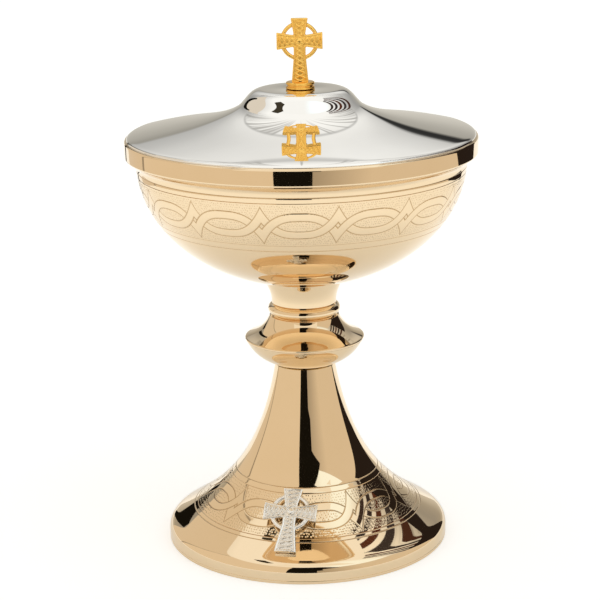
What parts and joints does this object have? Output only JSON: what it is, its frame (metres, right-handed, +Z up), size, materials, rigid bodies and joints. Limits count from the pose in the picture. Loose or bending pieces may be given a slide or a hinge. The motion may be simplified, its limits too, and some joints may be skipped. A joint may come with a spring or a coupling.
{
  "type": "ciborium vessel",
  "caption": "Covered altar vessel: gilt bowl on a flared foot with a knop, engraved interlace bands, a silver lift-off lid and ringed crosses.",
  "frame": {"origin": "centre of the underside of the foot, on the surface the vessel stands on", "axes": "+Z up along the stem; the front, with the cross on the foot, faces -Y; +X is the viewer's right"},
  "size_m": [0.1588, 0.1588, 0.2416],
  "materials": {
    "gilt_polished": "polished pale gold plate on spun brass",
    "gilt_cast": "cast relief, warmer gold plate, burnished high spots",
    "silver_polished": "mirror-polished silver plate",
    "silver_cast": "cast relief, silver plated, softly burnished",
    "plain_brass": "turned, unplated",
    "steel_rod": "threaded bar"
  },
  "bodies": {
    "vessel": {"base_ring": "gilt_polished", "foot_shell": "gilt_polished", "foot_neck_plate": "plain_brass", "foot_cross": "silver_cast", "foot_cross_pins": "silver_cast", "foot_cross_nuts": "plain_brass", "knop_lower": "gilt_polished", "knop_upper": "gilt_polished", "stem_bead": "gilt_polished", "bowl_collar": "gilt_polished", "bowl_boss": "plain_brass", "bowl_shell": "gilt_polished", "tie_rod": "steel_rod", "tie_washer": "plain_brass", "tie_nut": "plain_brass"},
    "lid": {"lid_shell": "silver_polished", "lid_rim_band": "gilt_polished", "lid_locating_ring": "gilt_polished", "finial_collar": "gilt_polished", "finial_cross": "gilt_cast", "finial_stud": "plain_brass", "finial_washer": "plain_brass", "finial_nut": "plain_brass"}
  },
  "joints": [
    {"name": "lid_lift", "type": "slide", "parent": "vessel", "child": "lid", "axis": [0, 0, 1], "range_m": [0, 0.1]}
  ]
}
